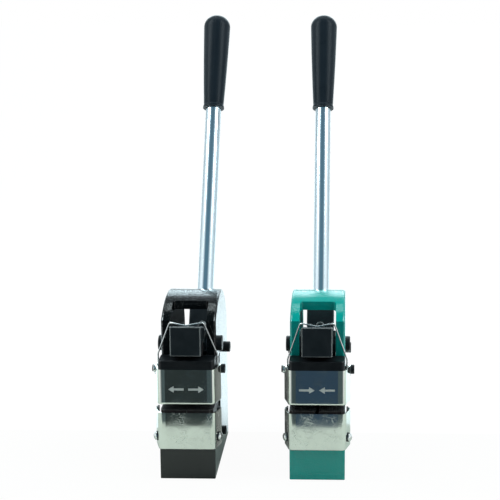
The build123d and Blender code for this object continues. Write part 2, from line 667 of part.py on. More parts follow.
def set_screw():
    """Socket screw that locks the rod in its boss."""
    body = Pos(0, 0, -1.6) * Cylinder(SCREW_R, 6.4)
    body = chamfer(body.faces().sort_by(Axis.Z)[-1].edges(), 0.6)
    body -= extrude(Plane.XY.offset(1.7) * RegularPolygon(2.3, 6), -3.0)
    return set_screw_place() * body


def handle_rod():
    """Plated round bar from the boss's socket up into the grip."""
    start, end = BOSS_ALONG[1] - ROD_SOCKET, GRIP_END - ROD_IN_GRIP
    bar = Cylinder(ROD_R, end - start)
    bar = chamfer(bar.edges().filter_by(GeomType.CIRCLE), 0.8)
    return rod_frame((start + end) / 2) * bar


def grip():
    """Moulded grip: a rim at its mouth, a slow taper out to the palm, and a domed end."""
    length = GRIP_END - GRIP_START
    dome, flat_r = 13.0, 2.0
    neck_z, bore = 3.6, length - ROD_IN_GRIP + 1.0
    outline = [Polyline((0, 0), (GRIP_RIM_R, 0), (GRIP_RIM_R, 1.6), (GRIP_NECK_R, neck_z)),
               ThreePointArc((GRIP_NECK_R, neck_z), (12.7, 50.0), (GRIP_PALM_R, length - dome)),
               ThreePointArc((GRIP_PALM_R, length - dome), (10.5, length - 3.8), (flat_r, length)),
               Polyline((flat_r, length), (0, length), (0, 0))]
    solid = revolve(Plane.XZ * make_face(outline), Axis.Z)
    solid -= Pos(0, 0, bore / 2 - 1) * Cylinder(ROD_R + PIN_FIT, bore + 2)
    return rod_frame(GRIP_START) * solid


# ---------------------------------------------------------------- the two tools
def tool(kind):
    """Every piece of one tool, by name, in the tool's own frame."""
    return {
        "frame": frame(),
        "pivot_pin": pivot_pin(),
        "pivot_cap": pivot_cap(),
        "stop_bolt": stop_bolt(),
        "stop_nut": stop_nut(),
        "lower_holder": lower_holder(kind),
        "holder_bolt": holder_bolt(),
        "holder_nut": holder_nut(),
        "lower_cover": lower_cover(),
        "cover_screws": cover_screws(),
        "cover_washers": cover_washers(),
        "lower_jaw_left": jaw(kind, False, -1),
        "lower_jaw_right": jaw(kind, False, 1),
        "lower_jaw_spring": jaw_spring(kind, False),
        "ram": ram(kind),
        "upper_cover": upper_cover(kind),
        "upper_pin": upper_pin(),
        "upper_pin_clip": upper_pin_clip(),
        "bail_wire": bail_wire(kind),
        "upper_jaw_left": jaw(kind, True, -1),
        "upper_jaw_right": jaw(kind, True, 1),
        "upper_jaw_spring": jaw_spring(kind, True),
        "lever": lever(),
        "nose_pad": nose_pad(),
        "set_screw": set_screw(),
        "handle_rod": handle_rod(),
        "grip": grip(),
    }


def main():
    os.makedirs("parts", exist_ok=True)
    for kind, side in zip(KINDS, (-1, 1)):
        home = Pos(side * TOOL_SPACING / 2, -BODY_DEPTH / 2, 0)
        for name, piece in tool(kind).items():
            placed = home * piece
            export_step(placed, f"parts/{kind}_{name}.step")


main()
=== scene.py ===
import math

import bmesh
import bpy
from bpy.props import FloatProperty, FloatVectorProperty, IntProperty, PointerProperty
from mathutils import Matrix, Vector


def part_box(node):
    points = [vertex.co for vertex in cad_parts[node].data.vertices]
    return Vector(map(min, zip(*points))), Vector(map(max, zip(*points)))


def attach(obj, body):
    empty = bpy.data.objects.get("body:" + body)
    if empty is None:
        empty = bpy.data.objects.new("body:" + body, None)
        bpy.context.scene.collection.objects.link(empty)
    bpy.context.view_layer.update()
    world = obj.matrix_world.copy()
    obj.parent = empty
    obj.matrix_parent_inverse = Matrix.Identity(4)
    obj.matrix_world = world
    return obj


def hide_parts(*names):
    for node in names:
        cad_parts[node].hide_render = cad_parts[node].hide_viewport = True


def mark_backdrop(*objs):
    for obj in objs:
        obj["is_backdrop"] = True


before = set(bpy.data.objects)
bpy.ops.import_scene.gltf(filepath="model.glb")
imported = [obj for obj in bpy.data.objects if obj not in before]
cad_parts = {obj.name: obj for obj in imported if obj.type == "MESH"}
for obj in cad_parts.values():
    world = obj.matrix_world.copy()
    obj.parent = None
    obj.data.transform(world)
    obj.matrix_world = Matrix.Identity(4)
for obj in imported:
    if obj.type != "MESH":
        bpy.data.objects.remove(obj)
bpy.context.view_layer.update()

bl_info = {
    "name": "Shrinker and stretcher pair",
    "version": (1, 0, 0),
    "blender": (4, 5, 0),
    "location": "3D View > Sidebar > Bench tools",
    "description": "Paint, plating and spring wire for a pair of lever-operated sheet-metal tools",
    "category": "Object",
}

MM = 0.001
WHITE = (1.0, 1.0, 1.0)
KINDS = ("stretcher", "shrinker")
TOOL_OFFSET = 58.5 * MM                         # from the pair's middle to a tool's middle plane
ROD_LEAN = math.radians(26.8)

# The ram's cross pin, and the wire that hooks on it, as places in the side view
PIN_Y, PIN_Z = -38.0 * MM, 99.0 * MM
PIN_RADIUS = 3.0 * MM
PIN_CLEARANCE = 0.15 * MM
KNEE_Z = {"stretcher": 114.0 * MM, "shrinker": 109.6 * MM}
SHOULDER_X, SHOULDER_Y = 15.2 * MM, -45.0 * MM
REST_Y, REST_DROP = -49.4 * MM, 1.55 * MM       # where the wire's middle rests on the nose
EYE_TURNS, EYE_STEPS, EYE_SHIFT = 0.95, 16, 0.8 * MM
LONGEST_TRIM = 0.45                             # the share of a straight run that a bend may take

# The arrows stamped in the upper covers: their floor's depth, height and reach
MARK_Y, MARK_Z, MARK_X = -55.82 * MM, 85.4 * MM, 20.0 * MM
MARK_SKIN, MARK_HALF = 0.06 * MM, 4.0 * MM
MARK_GREY = (0.62, 0.63, 0.60)

# The lever slot: half its width, and the middle and half of its height
SLOT_HALF, SLOT_HEIGHTS = 16.6 * MM, (118.0 * MM, 29.0 * MM)
HEAD_HEIGHTS = (100.0 * MM, 135.0 * MM)         # where the paint thickens towards the crown

# The covers' sheet: where it starts to bow towards a bend, and how high its lower edge rolls
COVER_BOTTOM = {"upper": 71.1 * MM, "lower": 28.7 * MM}
BOW_START, BOW_END, BOW_SLOPE = 18.9 * MM, 22.8 * MM, 0.1
ROLL_HEIGHT, ROLL_STEEPNESS = 2.6 * MM, 50.0
SCRATCH_DEPTH = 0.012 * MM

# The grip's parting line: half its flat width, where its flanks end, and its height in grains
PARTING_LINE, PARTING_HEIGHT = (0.00012, 0.00035), 3.0

# What turns a smooth mask into a broken one: the values it is stretched between
EDGE_TURN, WORN_GRAIN = (0.008, 0.08), (0.62, 0.98)
TONE_SCALE, FLECK_SCALE, FLECK_BREAK = 28.0, 900.0, (0.47, 0.57)
STREAK_BREAK, PATCH_BREAK = (0.6, 0.7), (0.4, 0.62)
CLOUD_BREAK, SPECK_BREAK = (0.35, 0.75), (0.3, 0.7)

# Each scratch direction's turn, and how much its streaks are drawn out
SCRATCH_RUNS = ((0.4, 0.04), (-0.75, 0.05), (1.35, 0.025))

# How much finer streaks and specks are than the patches they lie in, and the film between specks
STREAKS_PER_PATCH, SPECKS_PER_CLOUD, BETWEEN_SPECKS = 36.0, 14.0, 0.6

# Roughness where a finish is clean and where the film on it is thickest
PAINT_ROUGHNESS, NICKEL_ROUGHNESS = (0.08, 0.18), (0.07, 0.15)
ROD_ROUGHNESS, GRIP_ROUGHNESS = (0.12, 0.2), (0.27, 0.38)
BASE_COAT = 0.5                                 # clear coat below the head

# Steels without a setting of their own
JAW_BLACK = (0.012, 0.009, 0.009)
ZINC, PHOSPHATE = (0.74, 0.75, 0.73), (0.20, 0.21, 0.21)
COIL_STEEL, WIRE_STEEL = (0.5, 0.5, 0.49), (0.66, 0.67, 0.66)

# The stage: the board's front and rear edges, the backdrop's outline, and the card that paints a
# streaked reflection into the plated flanges
STAGE_HALF = 1.6
BOARD_EDGES = (-180.0 * MM, 55.0 * MM)
SWEEP_OUTLINE = ((BOARD_EDGES[1], 0.0), (0.9, 0.0), (1.3, 0.04), (1.5, 0.16), (1.6, 0.36))
PAPER = (0.93, 0.95, 0.95)
BOARD_WHITE, PAPER_WHITE = 0.96, 0.97           # how far each is lifted to white
CARD_DEPTH, CARD_HEIGHT = (-50.0 * MM, 55.0 * MM), 160.0 * MM
# The card's tint, streak breaks and glow strength: a painted reflection, seen only in the plated
# flanges
PAINTED_REFLECTION_TINT, CARD_BREAK, PAINTED_REFLECTION_GLOW = (0.92, 1.0, 0.99), (0.4, 0.66), (0.02, 0.4)

# The room, by direction: between which parts of a unit vector one tone fades into the next
BEHIND_FADE, BESIDE_FADE, ABOVE_FADE = (-0.1, 0.5), (0.4, 0.78), (0.7, 0.88)
RISE_FADE = (-0.15, 0.35)
BLUE_PLACE, BLUE_FADE = -0.03, (0.035, 0.075)
DARK_PLACE, DARK_FADE = -0.09, (0.1, 0.17)
LOW_BLUE, LOW_DARK, LOW_GREY = (0.036, 0.070, 0.118), (0.030, 0.041, 0.043), (0.085, 0.122, 0.134)
HIGH_BLUE, CEILING = (0.14, 0.26, 0.34), (0.06, 0.09, 0.10)
WALL_TINT, FLANK_TINT = (0.88, 1.0, 1.06), (0.96, 1.0, 1.02)


# ---------------------------------------------------------------- settings
def paint_property(label, text, default):
    return FloatVectorProperty(name=label, description=text, subtype="COLOR", size=3,
                               min=0.0, max=1.0, default=default)


class FinishSettings(bpy.types.PropertyGroup):
    """Colours and wear of the tools' finishes."""

    black_paint: paint_property("Black paint", "Gloss paint on the stretcher's casting",
                                (0.0016, 0.0024, 0.0028))
    teal_paint: paint_property("Teal paint", "Gloss paint on the shrinker's casting",
                               (0.0, 0.27, 0.228))
    nickel: paint_property("Nickel plate", "Polished plate on the four sheet covers",
                           (0.70, 0.72, 0.66))
    lever_black: paint_property("Lever black", "Baked black on the forged levers",
                                (0.006, 0.009, 0.011))
    oiled_black: paint_property("Oiled black", "Oxide on the pins, bolts, ram and holders",
                                (0.004, 0.005, 0.006))
    rod_plate: paint_property("Rod plate", "Bright zinc on the handle rods", (0.60, 0.69, 0.735))
    grip_black: paint_property("Grip black", "Moulded plastic of the hand grips",
                               (0.004, 0.008, 0.012))
    bare_steel: paint_property("Bare steel", "Steel that shows where a finish has worn",
                               (0.52, 0.53, 0.52))
    wear: FloatProperty(name="Edge wear", description="How much finish the arrises have lost",
                        subtype="FACTOR", min=0.0, max=1.0, default=0.6)
    scratches: FloatProperty(name="Scratches", description="How scuffed the plated sheets are",
                             subtype="FACTOR", min=0.0, max=1.0, default=0.6)
    orange_peel: FloatProperty(name="Orange peel",
                               description="Height of the ripples in the gloss paint",
                               unit="LENGTH", min=0.0, max=0.001, default=0.00017)


class WireSettings(bpy.types.PropertyGroup):
    """Sizes of the spring wires that lift the rams."""

    radius: FloatProperty(name="Wire radius", description="Half the wire's thickness",
                          unit="LENGTH", min=0.0003, max=0.002, default=0.0007)
    bend: FloatProperty(name="Bend radius", description="Inside radius of the wire's corners",
                        unit="LENGTH", min=0.001, max=0.006, default=0.0024)
    rounding: IntProperty(name="Rounding", description="Points along each bend",
                          min=3, max=24, default=8)


class StageSettings(bpy.types.PropertyGroup):
    """Light, floor and camera round the tools."""

    bench_colour: paint_property("Bench", "Pale board that the tools stand on",
                                 (0.54, 0.545, 0.49))
    overhead: FloatProperty(name="Overhead lights",
                            description="Radiant power of each overhead softbox",
                            unit="POWER", min=0.0, default=12.0)
    behind: FloatProperty(name="Back light", description="Radiant power of the softbox behind",
                          unit="POWER", min=0.0, default=9.0)
    sweep: FloatProperty(name="Sweep light", description="Radiant power on the paper behind",
                         unit="POWER", min=0.0, default=7.5)
    backdrop: FloatProperty(name="Backdrop", description="Brightness of the wall behind the tools",
                            min=0.0, default=0.74)
    sides: FloatProperty(name="Sides", description="Brightness of the room at both sides",
                         min=0.0, default=1.35)
    lens: FloatProperty(name="Lens", description="Focal length for a 36 mm wide sensor",
                        unit="CAMERA", min=1.0, default=78.93)
    camera_place: FloatVectorProperty(name="Camera", description="Where the camera stands",
                                      subtype="TRANSLATION", unit="LENGTH",
                                      default=(0.0865, -0.9897, 0.4356))
    camera_turn: FloatVectorProperty(name="Camera turn", description="How the camera is turned",
                                     subtype="EULER", unit="ROTATION",
                                     default=(math.pi / 2 - 0.15, 0.0, 0.022))
    camera_shift: FloatVectorProperty(name="Camera shift",
                                      description="Lens shift in image widths",
                                      size=2, default=(-0.1506, -0.1832))


# ---------------------------------------------------------------- node helpers
def put(tree, kind, settings=None, **inputs):
    """Add a node. An input is a number, a colour or another node's output."""
    made = tree.nodes.new(kind)
    for key, value in (settings or {}).items():
        setattr(made, key, value)
    for key, value in inputs.items():
        feed(tree, value, made.inputs[key.replace("_", " ")])
    return made


def feed(tree, value, socket):
    """Link an output to a socket, or set the socket to a number or a colour."""
    if isinstance(value, bpy.types.NodeSocket):
        tree.links.new(value, socket)
    elif isinstance(value, tuple) and len(value) == 3 and socket.type == "RGBA":
        socket.default_value = (*value, 1.0)
    else:
        socket.default_value = value


def calc(tree, operation, *values, clamp=False):
    """A Math node's result."""
    made = put(tree, "ShaderNodeMath", {"operation": operation, "use_clamp": clamp})
    for value, socket in zip(values, made.inputs):
        feed(tree, value, socket)
    return made.outputs[0]


def blend_colour(tree, mask, first, second):
    """The first colour where the mask is 0, and the second where it is 1."""
    made = put(tree, "ShaderNodeMix", {"data_type": "RGBA"})
    feed(tree, mask, made.inputs[0])
    feed(tree, first, made.inputs[6])
    feed(tree, second, made.inputs[7])
    return made.outputs[2]


def spread(tree, value, low, high, start=0.0, end=1.0):
    """A value mapped from one range to another, and held at its ends."""
    made = put(tree, "ShaderNodeMapRange", Value=value, From_Min=low, From_Max=high,
               To_Min=start, To_Max=end)
    return made.outputs[0]


def noise(tree, where, scale, detail=4.0, roughness=0.5, distortion=0.0):
    """Smooth noise from 0 to 1."""
    made = put(tree, "ShaderNodeTexNoise", Vector=where, Scale=scale, Detail=detail,
               Roughness=roughness, Distortion=distortion)
    return made.outputs["Fac"]


def object_place(tree):
    """Where a point lies, in metres on the part's own axes."""
    return put(tree, "ShaderNodeTexCoord").outputs["Object"]


def place_axes(tree):
    """A point's place as its X, Y and Z."""
    return put(tree, "ShaderNodeSeparateXYZ", Vector=object_place(tree)).outputs


def off_place(tree, value, place):
    """How far a value lies from a place, to either side."""
    return calc(tree, "ABSOLUTE", calc(tree, "SUBTRACT", value, place))


def off_middle(tree, axes):
    """How far a point lies to either side of its tool's middle plane."""
    return off_place(tree, calc(tree, "ABSOLUTE", axes["X"]), TOOL_OFFSET)


def effect(name, inputs, outputs):
    """An empty shader node group with named inputs and outputs."""
    group = bpy.data.node_groups.new(name, "ShaderNodeTree")
    for label, default in inputs:
        socket = group.interface.new_socket(label, in_out="INPUT", socket_type="NodeSocketFloat")
        socket.default_value = default
    for label in outputs:
        group.interface.new_socket(label, in_out="OUTPUT", socket_type="NodeSocketFloat")
    given = group.nodes.new("NodeGroupInput").outputs
    result = group.nodes.new("NodeGroupOutput").inputs
    return group, given, result


def place_effect(tree, name, **inputs):
    """Put a shared effect into a material with the material's own values."""
    made = tree.nodes.new("ShaderNodeGroup")
    made.node_tree = bpy.data.node_groups[name]
    for key, value in inputs.items():
        feed(tree, value, made.inputs[key.replace("_", " ")])
    return made.outputs


def shade(colour, factor, lift=0.0):
    """A colour made deeper or paler, and lifted off black."""
    return tuple(min(1.0, channel * factor + lift) for channel in colour)


# ---------------------------------------------------------------- shared effects
def make_edge_wear():
    """Mask of the arrises, broken up by a fine grain."""
    group, given, result = effect(
        "edge_wear", [("Radius", 0.001), ("Grain", 900.0), ("Amount", 0.5)], ["Mask"])
    here = put(group, "ShaderNodeNewGeometry")
    soft = put(group, "ShaderNodeBevel", {"samples": 6}, Radius=given["Radius"])
    dot = put(group, "ShaderNodeVectorMath", {"operation": "DOT_PRODUCT"})
    feed(group, here.outputs["Normal"], dot.inputs[0])
    feed(group, soft.outputs[0], dot.inputs[1])
    turned = calc(group, "SUBTRACT", 1.0, dot.outputs["Value"])
    grain = noise(group, object_place(group), given["Grain"], detail=3.0, roughness=0.6)
    edge = spread(group, turned, *EDGE_TURN)
    broken = spread(group, calc(group, "ADD", grain, given["Amount"]), *WORN_GRAIN)
    feed(group, calc(group, "MULTIPLY", edge, broken, clamp=True), result["Mask"])


def make_cast_grain():
    """Ripples of thick paint over sand-cast iron, its slow change of tone, and its flecks."""
    group, given, result = effect(
        "cast_grain", [("Ripple", 260.0), ("Sand", 1100.0), ("Sand Share", 0.3)],
        ["Height", "Tone", "Fleck"])
    where = object_place(group)
    ripple = noise(group, where, given["Ripple"], detail=2.0, roughness=0.45, distortion=0.4)
    sand = noise(group, where, given["Sand"], detail=2.0)
    height = calc(group, "ADD", ripple, calc(group, "MULTIPLY", sand, given["Sand Share"]))
    feed(group, height, result["Height"])
    feed(group, noise(group, where, TONE_SCALE, detail=5.0, roughness=0.6), result["Tone"])
    flecks = noise(group, where, FLECK_SCALE, detail=1.0)
    feed(group, spread(group, flecks, *FLECK_BREAK), result["Fleck"])


def make_fine_scratches():
    """Long straight scratches in three directions, in patches."""
    group, given, result = effect(
        "fine_scratches", [("Scale", 60.0), ("Amount", 0.5)], ["Mask", "Height"])
    where = object_place(group)
    fine = calc(group, "MULTIPLY", given["Scale"], STREAKS_PER_PATCH)
    marks = None
    for turn, length in SCRATCH_RUNS:
        aimed = put(group, "ShaderNodeMapping", Vector=where, Rotation=(0.0, turn, 0.0))
        drawn = put(group, "ShaderNodeMapping", Vector=aimed.outputs[0], Scale=(1.0, 1.0, length))
        streak = spread(group, noise(group, drawn.outputs[0], fine, detail=1.0), *STREAK_BREAK)
        marks = streak if marks is None else calc(group, "MAXIMUM", marks, streak)
    patch = spread(group, noise(group, where, given["Scale"], detail=3.0), *PATCH_BREAK)
    patched = calc(group, "MULTIPLY", marks, patch)
    mask = calc(group, "MULTIPLY", patched, given["Amount"], clamp=True)
    feed(group, mask, result["Mask"])
    feed(group, calc(group, "SUBTRACT", 1.0, mask), result["Height"])


def make_handled_film():
    """Cloudy film of oil and handling that dulls a bright or a black surface."""
    group, given, result = effect("handled_film", [("Scale", 70.0), ("Amount", 0.5)], ["Mask"])
    where = object_place(group)
    cloud = noise(group, where, given["Scale"], detail=6.0, roughness=0.65, distortion=0.6)
    speck_scale = calc(group, "MULTIPLY", given["Scale"], SPECKS_PER_CLOUD)
    specks = noise(group, where, speck_scale, detail=2.0)
    both = calc(group, "MULTIPLY", spread(group, cloud, *CLOUD_BREAK),
                spread(group, specks, *SPECK_BREAK, BETWEEN_SPECKS, 1.0))
    feed(group, calc(group, "MULTIPLY", both, given["Amount"], clamp=True), result["Mask"])


def make_casting_zones():
    """The lever slot's walls, where the paint is thin and dull, and the head, where it is thick."""
    group, _, result = effect("casting_zones", [], ["Slot", "Head"])
    axes = place_axes(group)
    across = calc(group, "LESS_THAN", off_middle(group, axes), SLOT_HALF)
    beside = calc(group, "COMPARE", axes["Z"], *SLOT_HEIGHTS)
    feed(group, calc(group, "MULTIPLY", across, beside), result["Slot"])
    feed(group, spread(group, axes["Z"], *HEAD_HEIGHTS), result["Head"])


def make_sheet_bow():
    """How a bent sheet falls away towards its two bends and its rolled lower edge, in metres."""
    group, given, result = effect("sheet_bow", [("Bottom", 0.0)], ["Height"])
    axes = place_axes(group)
    height = calc(group, "SUBTRACT", axes["Z"], given["Bottom"])
    beside = spread(group, off_middle(group, axes), BOW_START, BOW_END,
                    0.0, (BOW_START - BOW_END) * BOW_SLOPE)
    below = spread(group, height, 0.0, ROLL_HEIGHT, ROLL_HEIGHT, 0.0)
    roll = calc(group, "MULTIPLY", calc(group, "MULTIPLY", below, below), -ROLL_STEEPNESS)
    feed(group, calc(group, "ADD", beside, roll), result["Height"])


# ---------------------------------------------------------------- finishes
def finish(name):
    """A material with a Principled shader, and the tree to dress it in."""
    material = bpy.data.materials.new(name)
    material.use_nodes = True
    tree = material.node_tree
    tree.nodes.clear()
    shader = tree.nodes.new("ShaderNodeBsdfPrincipled")
    put(tree, "ShaderNodeOutputMaterial", Surface=shader.outputs[0])
    return material, tree, shader


def raise_relief(tree, shader, height, depth):
    """Bump the surface by a height times a depth."""
    bump = put(tree, "ShaderNodeBump", Strength=1.0, Distance=depth, Height=height)
    tree.links.new(bump.outputs[0], shader.inputs["Normal"])


def film_roughness(tree, film, full, clean, dull):
    """Roughness that goes from clean to dull, which it reaches where the film's mask is full."""
    return spread(tree, film["Mask"], 0.0, full, clean, dull)


def dull_by(tree, base, mask, amount):
    """A roughness that grows by an amount where a mask is 1."""
    return calc(tree, "ADD", base, calc(tree, "MULTIPLY", mask, amount))


def gloss_paint(name, colour, settings):
    """Thick gloss paint over cast iron."""
    material, tree, shader = finish(name)
    grain = place_effect(tree, "cast_grain", Ripple=620.0, Sand=2300.0, Sand_Share=0.1)
    film = place_effect(tree, "handled_film", Scale=24.0, Amount=0.5)
    wear = place_effect(tree, "edge_wear", Radius=0.0012, Grain=700.0,
                        Amount=settings.wear * 0.35)
    zones = place_effect(tree, "casting_zones")
    tone = blend_colour(tree, grain["Tone"], colour, shade(colour, 0.82))
    thin = shade(colour, 1.5, 0.01)
    feed(tree, blend_colour(tree, wear["Mask"], tone, thin), shader.inputs["Base Color"])
    gloss = film_roughness(tree, film, 0.6, *PAINT_ROUGHNESS)
    feed(tree, dull_by(tree, gloss, zones["Slot"], 0.5), shader.inputs["Roughness"])
    coat = spread(tree, zones["Head"], 0.0, 1.0, BASE_COAT, grain["Fleck"])
    feed(tree, calc(tree, "SUBTRACT", coat, zones["Slot"], clamp=True),
         shader.inputs["Coat Weight"])
    shader.inputs["Coat Roughness"].default_value = 0.1
    shader.inputs["Coat IOR"].default_value = 1.62
    shader.inputs["Specular IOR Level"].default_value = 0.2
    raise_relief(tree, shader, grain["Height"], settings.orange_peel)
    return material


def worn_black(name, colour, settings, wear_radius, roughness, metal=0.0, wear_scale=1.0):
    """A thin black finish that has gone bright on the arrises."""
    material, tree, shader = finish(name)
    grain = place_effect(tree, "cast_grain", Ripple=500.0, Sand=2600.0, Sand_Share=0.5)
    film = place_effect(tree, "handled_film", Scale=90.0, Amount=0.8)
    wear = place_effect(tree, "edge_wear", Radius=wear_radius, Grain=1400.0,
                        Amount=settings.wear * wear_scale)
    tone = blend_colour(tree, film["Mask"], colour, shade(colour, 1.6, 0.003))
    feed(tree, blend_colour(tree, wear["Mask"], tone, tuple(settings.bare_steel)),
         shader.inputs["Base Color"])
    feed(tree, film_roughness(tree, film, 0.8, roughness, roughness + 0.18),
         shader.inputs["Roughness"])
    feed(tree, spread(tree, wear["Mask"], 0.0, 1.0, metal, 0.9), shader.inputs["Metallic"])
    shader.inputs["Specular IOR Level"].default_value = 0.3
    raise_relief(tree, shader, grain["Height"], 0.00003)
    return material


def nickel_sheet(name, settings, level, scuffs):
    """Polished plate with fine scratches; the upper sheets carry an etched pair of arrows."""
    material, tree, shader = finish(name)
    scratches = place_effect(tree, "fine_scratches", Scale=70.0,
                             Amount=settings.scratches * scuffs)
    bow = place_effect(tree, "sheet_bow", Bottom=COVER_BOTTOM[level])
    film = place_effect(tree, "handled_film", Scale=60.0, Amount=0.7)
    bright = tuple(settings.nickel)
    colour = blend_colour(tree, film["Mask"], bright, shade(bright, 0.86))
    gloss = film_roughness(tree, film, 0.7, *NICKEL_ROUGHNESS)
    roughness = dull_by(tree, gloss, scratches["Mask"], 0.45)
    if level == "upper":
        etched = etched_mask(tree)
        colour = blend_colour(tree, etched, colour, MARK_GREY)
        roughness = dull_by(tree, roughness, etched, 0.5)
    feed(tree, colour, shader.inputs["Base Color"])
    feed(tree, roughness, shader.inputs["Roughness"])
    shader.inputs["Metallic"].default_value = 1.0
    marks = calc(tree, "MULTIPLY", scratches["Height"], SCRATCH_DEPTH)
    raise_relief(tree, shader, calc(tree, "ADD", marks, bow["Height"]), 1.0)
    return material


def etched_mask(tree):
    """The floor of the marks, which lies just behind the sheet's front face."""
    axes = place_axes(tree)
    sunk = calc(tree, "COMPARE", axes["Y"], MARK_Y, MARK_SKIN)
    band = calc(tree, "COMPARE", axes["Z"], MARK_Z, MARK_HALF)
    inside = calc(tree, "COMPARE", off_middle(tree, axes), 0.0, MARK_X)
    return calc(tree, "MULTIPLY", calc(tree, "MULTIPLY", sunk, band), inside)


def rod_plate(settings):
    """Bright zinc over a turned bar, with faint rings left by the lathe."""
    material, tree, shader = finish("bright_zinc")
    film = place_effect(tree, "handled_film", Scale=40.0, Amount=0.8)
    scratches = place_effect(tree, "fine_scratches", Scale=40.0, Amount=0.4)
    upright = put(tree, "ShaderNodeMapping", {"vector_type": "POINT"}, Vector=object_place(tree),
                  Rotation=(ROD_LEAN, 0.0, 0.0), Scale=(30.0, 30.0, 2600.0))
    rings = noise(tree, upright.outputs[0], scale=1.0, detail=1.0)
    bright = tuple(settings.rod_plate)
    feed(tree, blend_colour(tree, film["Mask"], bright, shade(bright, 0.84)),
         shader.inputs["Base Color"])
    gloss = film_roughness(tree, film, 0.8, *ROD_ROUGHNESS)
    feed(tree, dull_by(tree, gloss, scratches["Mask"], 0.2), shader.inputs["Roughness"])
    shader.inputs["Metallic"].default_value = 1.0
    raise_relief(tree, shader, rings, 0.000004)
    return material


def grip_plastic(settings):
    """Gloss black plastic with the mould's parting line up both sides."""
    material, tree, shader = finish("moulded_grip")
    grain = place_effect(tree, "cast_grain", Ripple=180.0, Sand=3000.0, Sand_Share=0.25)
    film = place_effect(tree, "handled_film", Scale=55.0, Amount=0.45)
    scratches = place_effect(tree, "fine_scratches", Scale=90.0, Amount=0.25)
    parting = spread(tree, off_middle(tree, place_axes(tree)), *PARTING_LINE, 1.0, 0.0)
    black = tuple(settings.grip_black)
    feed(tree, blend_colour(tree, film["Mask"], black, shade(black, 1.6, 0.003)),
         shader.inputs["Base Color"])
    gloss = film_roughness(tree, film, 0.8, *GRIP_ROUGHNESS)
    feed(tree, dull_by(tree, gloss, scratches["Mask"], 0.3), shader.inputs["Roughness"])
    shader.inputs["Specular IOR Level"].default_value = 0.05
    shader.inputs["Sheen Weight"].default_value = 0.1
    line = calc(tree, "MULTIPLY", parting, PARTING_HEIGHT)
    raise_relief(tree, shader, calc(tree, "ADD", grain["Height"], line), 0.00002)
    return material


def plain_steel(name, colour, roughness, line_scale, stretch=(1.0, 1.0, 1.0)):
    """Bare or plated steel with drawn or turned lines."""
    material, tree, shader = finish(name)
    film = place_effect(tree, "handled_film", Scale=160.0, Amount=0.7)
    wear = place_effect(tree, "edge_wear", Radius=0.0004, Grain=2000.0, Amount=0.5)
    aimed = put(tree, "ShaderNodeMapping", Vector=object_place(tree), Scale=stretch)
    lines = noise(tree, aimed.outputs[0], line_scale, detail=2.0)
    tone = blend_colour(tree, film["Mask"], colour, shade(colour, 0.62))
    feed(tree, blend_colour(tree, wear["Mask"], tone, shade(colour, 1.25)),
         shader.inputs["Base Color"])
    feed(tree, spread(tree, calc(tree, "ADD", film["Mask"], lines), 0.3, 1.4,
                      roughness, roughness + 0.2), shader.inputs["Roughness"])
    shader.inputs["Metallic"].default_value = 1.0
    raise_relief(tree, shader, lines, 0.00001)
    return material


def dress(node, material):
    """Give a CAD node its finish."""
    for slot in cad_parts[node].material_slots:
        slot.material = material


def dress_both(parts, material):
    """Give the same parts of both tools one finish."""
    for kind in KINDS:
        for part in parts:
            dress(f"{kind}_{part}", material)


# ---------------------------------------------------------------- spring wire
def rounded_route(corners, radius, steps):
    """A polyline whose corners are rounded off by circular arcs."""
    points = [corners[0]]
    for before, corner, after in zip(corners, corners[1:], corners[2:]):
        back = (before - corner).normalized()
        ahead = (after - corner).normalized()
        half = back.angle(ahead) / 2
        shortest = min((before - corner).length, (after - corner).length)
        trim = min(radius / math.tan(half), shortest * LONGEST_TRIM)
        bend = trim * math.tan(half)
        centre = corner + (back + ahead).normalized() * (bend / math.sin(half))
        start = (corner + back * trim - centre).normalized()
        end = (corner + ahead * trim - centre).normalized()
        for step in range(steps + 1):
            points.append(centre + start.slerp(end, step / steps) * bend)
    points.append(corners[-1])
    return points


class BENCHTOOLS_OT_effects(bpy.types.Operator):
    """Build the effects that the finishes share: wear, grain, scratches, film, zones and bow."""

    bl_idname = "bench_tools.effects"
    bl_label = "Shared effects"

    def execute(self, context):
        make_edge_wear()
        make_cast_grain()
        make_fine_scratches()
        make_handled_film()
        make_casting_zones()
        make_sheet_bow()
        return {"FINISHED"}


class BENCHTOOLS_OT_castings(bpy.types.Operator):
    """Paint the two castings, one black and one teal."""

    bl_idname = "bench_tools.castings"
    bl_label = "Castings"

    def execute(self, context):
        settings = context.scene.bench_finishes
        dress("stretcher_frame",
              gloss_paint("gloss_black_paint", tuple(settings.black_paint), settings))
        dress("shrinker_frame",
              gloss_paint("gloss_teal_paint", tuple(settings.teal_paint), settings))
        return {"FINISHED"}


class BENCHTOOLS_OT_covers(bpy.types.Operator):
    """Plate the sheet covers; the upper ones carry the etched arrows."""

    bl_idname = "bench_tools.covers"
    bl_label = "Sheet covers"

    def execute(self, context):
        settings = context.scene.bench_finishes
        dress_both(["upper_cover"], nickel_sheet("nickel_marked", settings, "upper", scuffs=0.5))
        dress("stretcher_lower_cover",
              nickel_sheet("nickel_plain", settings, "lower", scuffs=1.0))
        dress("shrinker_lower_cover",
              nickel_sheet("nickel_scuffed", settings, "lower", scuffs=1.2))
        return {"FINISHED"}


class BENCHTOOLS_OT_levers(bpy.types.Operator):
    """Blacken the forged levers and wear their arrises bright."""

    bl_idname = "bench_tools.levers"
    bl_label = "Levers"

    def execute(self, context):
        settings = context.scene.bench_finishes
        dress_both(["lever"], worn_black("lever_black", tuple(settings.lever_black), settings,
                                         wear_radius=0.0008, roughness=0.32))
        return {"FINISHED"}


